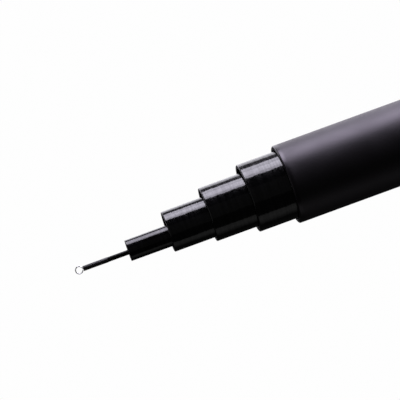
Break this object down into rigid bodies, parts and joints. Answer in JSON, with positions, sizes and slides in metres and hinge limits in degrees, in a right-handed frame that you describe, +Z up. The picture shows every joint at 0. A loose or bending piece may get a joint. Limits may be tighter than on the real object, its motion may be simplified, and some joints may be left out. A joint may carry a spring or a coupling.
{
  "type": "telescopic pole rod",
  "caption": "Slim telescopic pole rod, closed: nested tapered tubes that draw out to lock, a screw cap with rubber foot at the butt, and a wire ring at the tip.",
  "frame": {"origin": "centre of the rubber foot's rear face, on the butt's end", "axes": "+X along the rod from the butt to the tip, +Z up as the rod lies level, +Y to the left of someone who looks along it to the tip"},
  "size_m": [1.1244, 0.031, 0.031],
  "materials": {
    "butt_lacquer": "satin dark purple-grey lacquer over the wound composite tube",
    "section_gloss": "clear high gloss coat over black wound carbon and glass fibre",
    "grip_rubber": "matt black shrink sleeve with a fine non-slip relief",
    "ferrule_metal": "dark anodised, turned and threaded",
    "cap_metal": "dark anodised, turned and fluted",
    "seal_rubber": "smooth black",
    "foot_rubber": "moulded matt black",
    "bumper_foam": "dense black foam rubber",
    "sleeve_black": "satin black shrink sleeve",
    "ring_steel": "bright stainless wire"
  },
  "bodies": {
    "butt": {"butt_blank": "butt_lacquer", "grip_sleeve": "grip_rubber", "butt_ferrule": "ferrule_metal"},
    "section_5": {"section_5": "section_gloss"},
    "section_4": {"section_4": "section_gloss"},
    "section_3": {"section_3": "section_gloss"},
    "section_2": {"section_2": "section_gloss"},
    "tip": {"tip_blank": "section_gloss", "tip_sleeve": "sleeve_black", "tip_ring": "ring_steel"},
    "bumper": {"cap_bumper": "bumper_foam"},
    "cap": {"butt_cap": "cap_metal", "cap_o_ring": "seal_rubber", "cap_foot": "foot_rubber"}
  },
  "joints": [
    {"name": "section_5_slide", "type": "slide", "parent": "butt", "child": "section_5", "axis": [1, 0, 0], "range_m": [0, 0.9454]},
    {"name": "section_4_slide", "type": "slide", "parent": "section_5", "child": "section_4", "axis": [1, 0, 0.0005], "range_m": [0, 0.95865]},
    {"name": "section_3_slide", "type": "slide", "parent": "section_4", "child": "section_3", "axis": [1, 0, 0.0008], "range_m": [0, 0.97295]},
    {"name": "section_2_slide", "type": "slide", "parent": "section_3", "child": "section_2", "axis": [1, 0, 0.0013], "range_m": [0, 0.98715]},
    {"name": "tip_slide", "type": "slide", "parent": "section_2", "child": "tip", "axis": [1, 0, 0.0004], "range_m": [0, 1.00145]},
    {"name": "cap_lift", "type": "slide", "parent": "butt", "child": "bumper", "axis": [-1, 0, 0], "range_m": [0, 0.009]},
    {"name": "cap_turn", "type": "hinge", "parent": "bumper", "child": "cap", "pos_m": [0, 0, 0], "axis": [-1, 0, 0], "range_deg": [0, 2160]}
  ],
  "couplings": [
    {"joint": "cap_lift", "follows": "cap_turn", "m_per_rad": 0.0002387}
  ]
}
